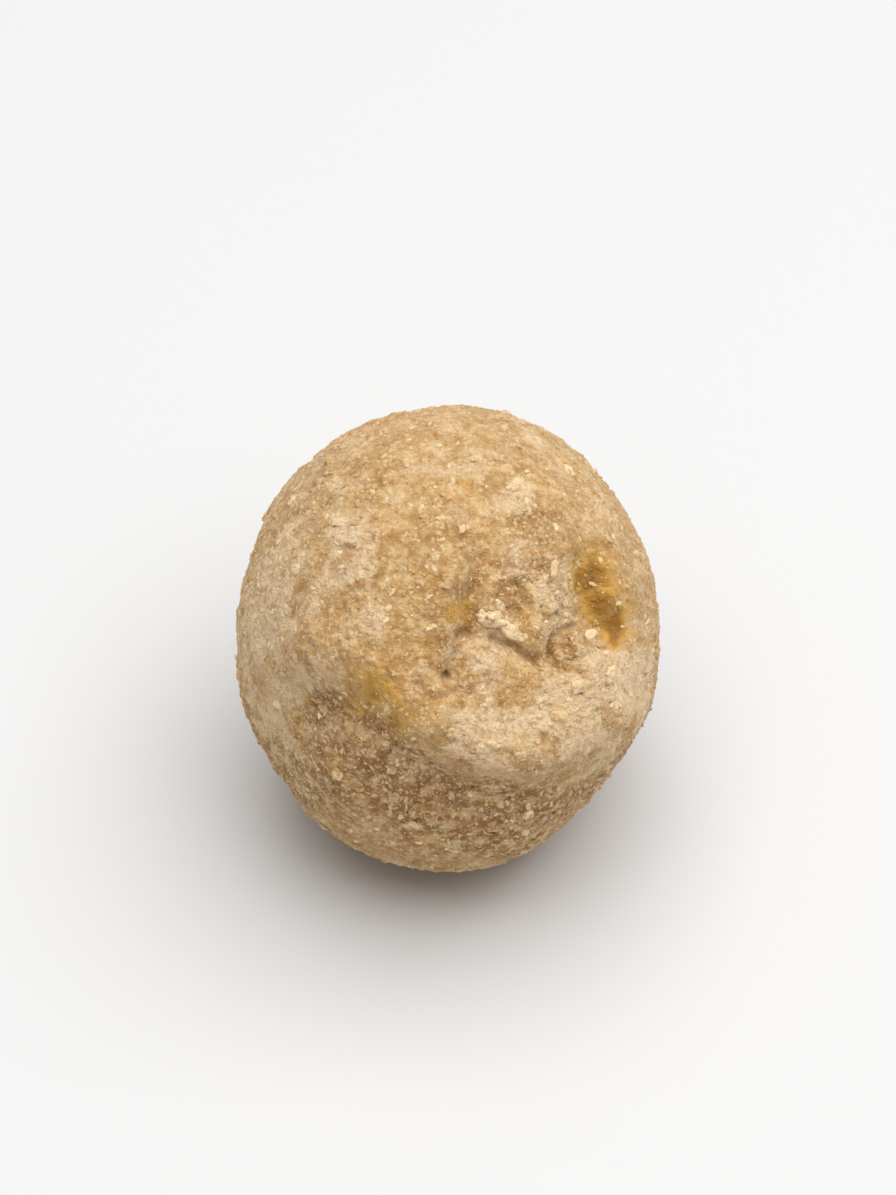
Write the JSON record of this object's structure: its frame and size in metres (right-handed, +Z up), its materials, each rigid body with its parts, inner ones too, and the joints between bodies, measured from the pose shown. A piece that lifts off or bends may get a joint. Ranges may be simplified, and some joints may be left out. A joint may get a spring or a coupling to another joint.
{
  "type": "coconut ladoo",
  "caption": "Hand-rolled ball of grainy coconut sweet dough with a ragged pinched hollow on its face and a small flat to rest on.",
  "frame": {"origin": "on the resting flat, under the middle of the ball's box", "axes": "+Z up, -Y towards the pinched face, +X to the right of someone who faces it"},
  "size_m": [0.0356, 0.0384, 0.0379],
  "materials": {
    "dough": "matt tan dough, grainy, with paler coconut flakes and a dry floury bloom"
  },
  "bodies": {
    "root": {"ladoo": "dough"}
  },
  "joints": []
}
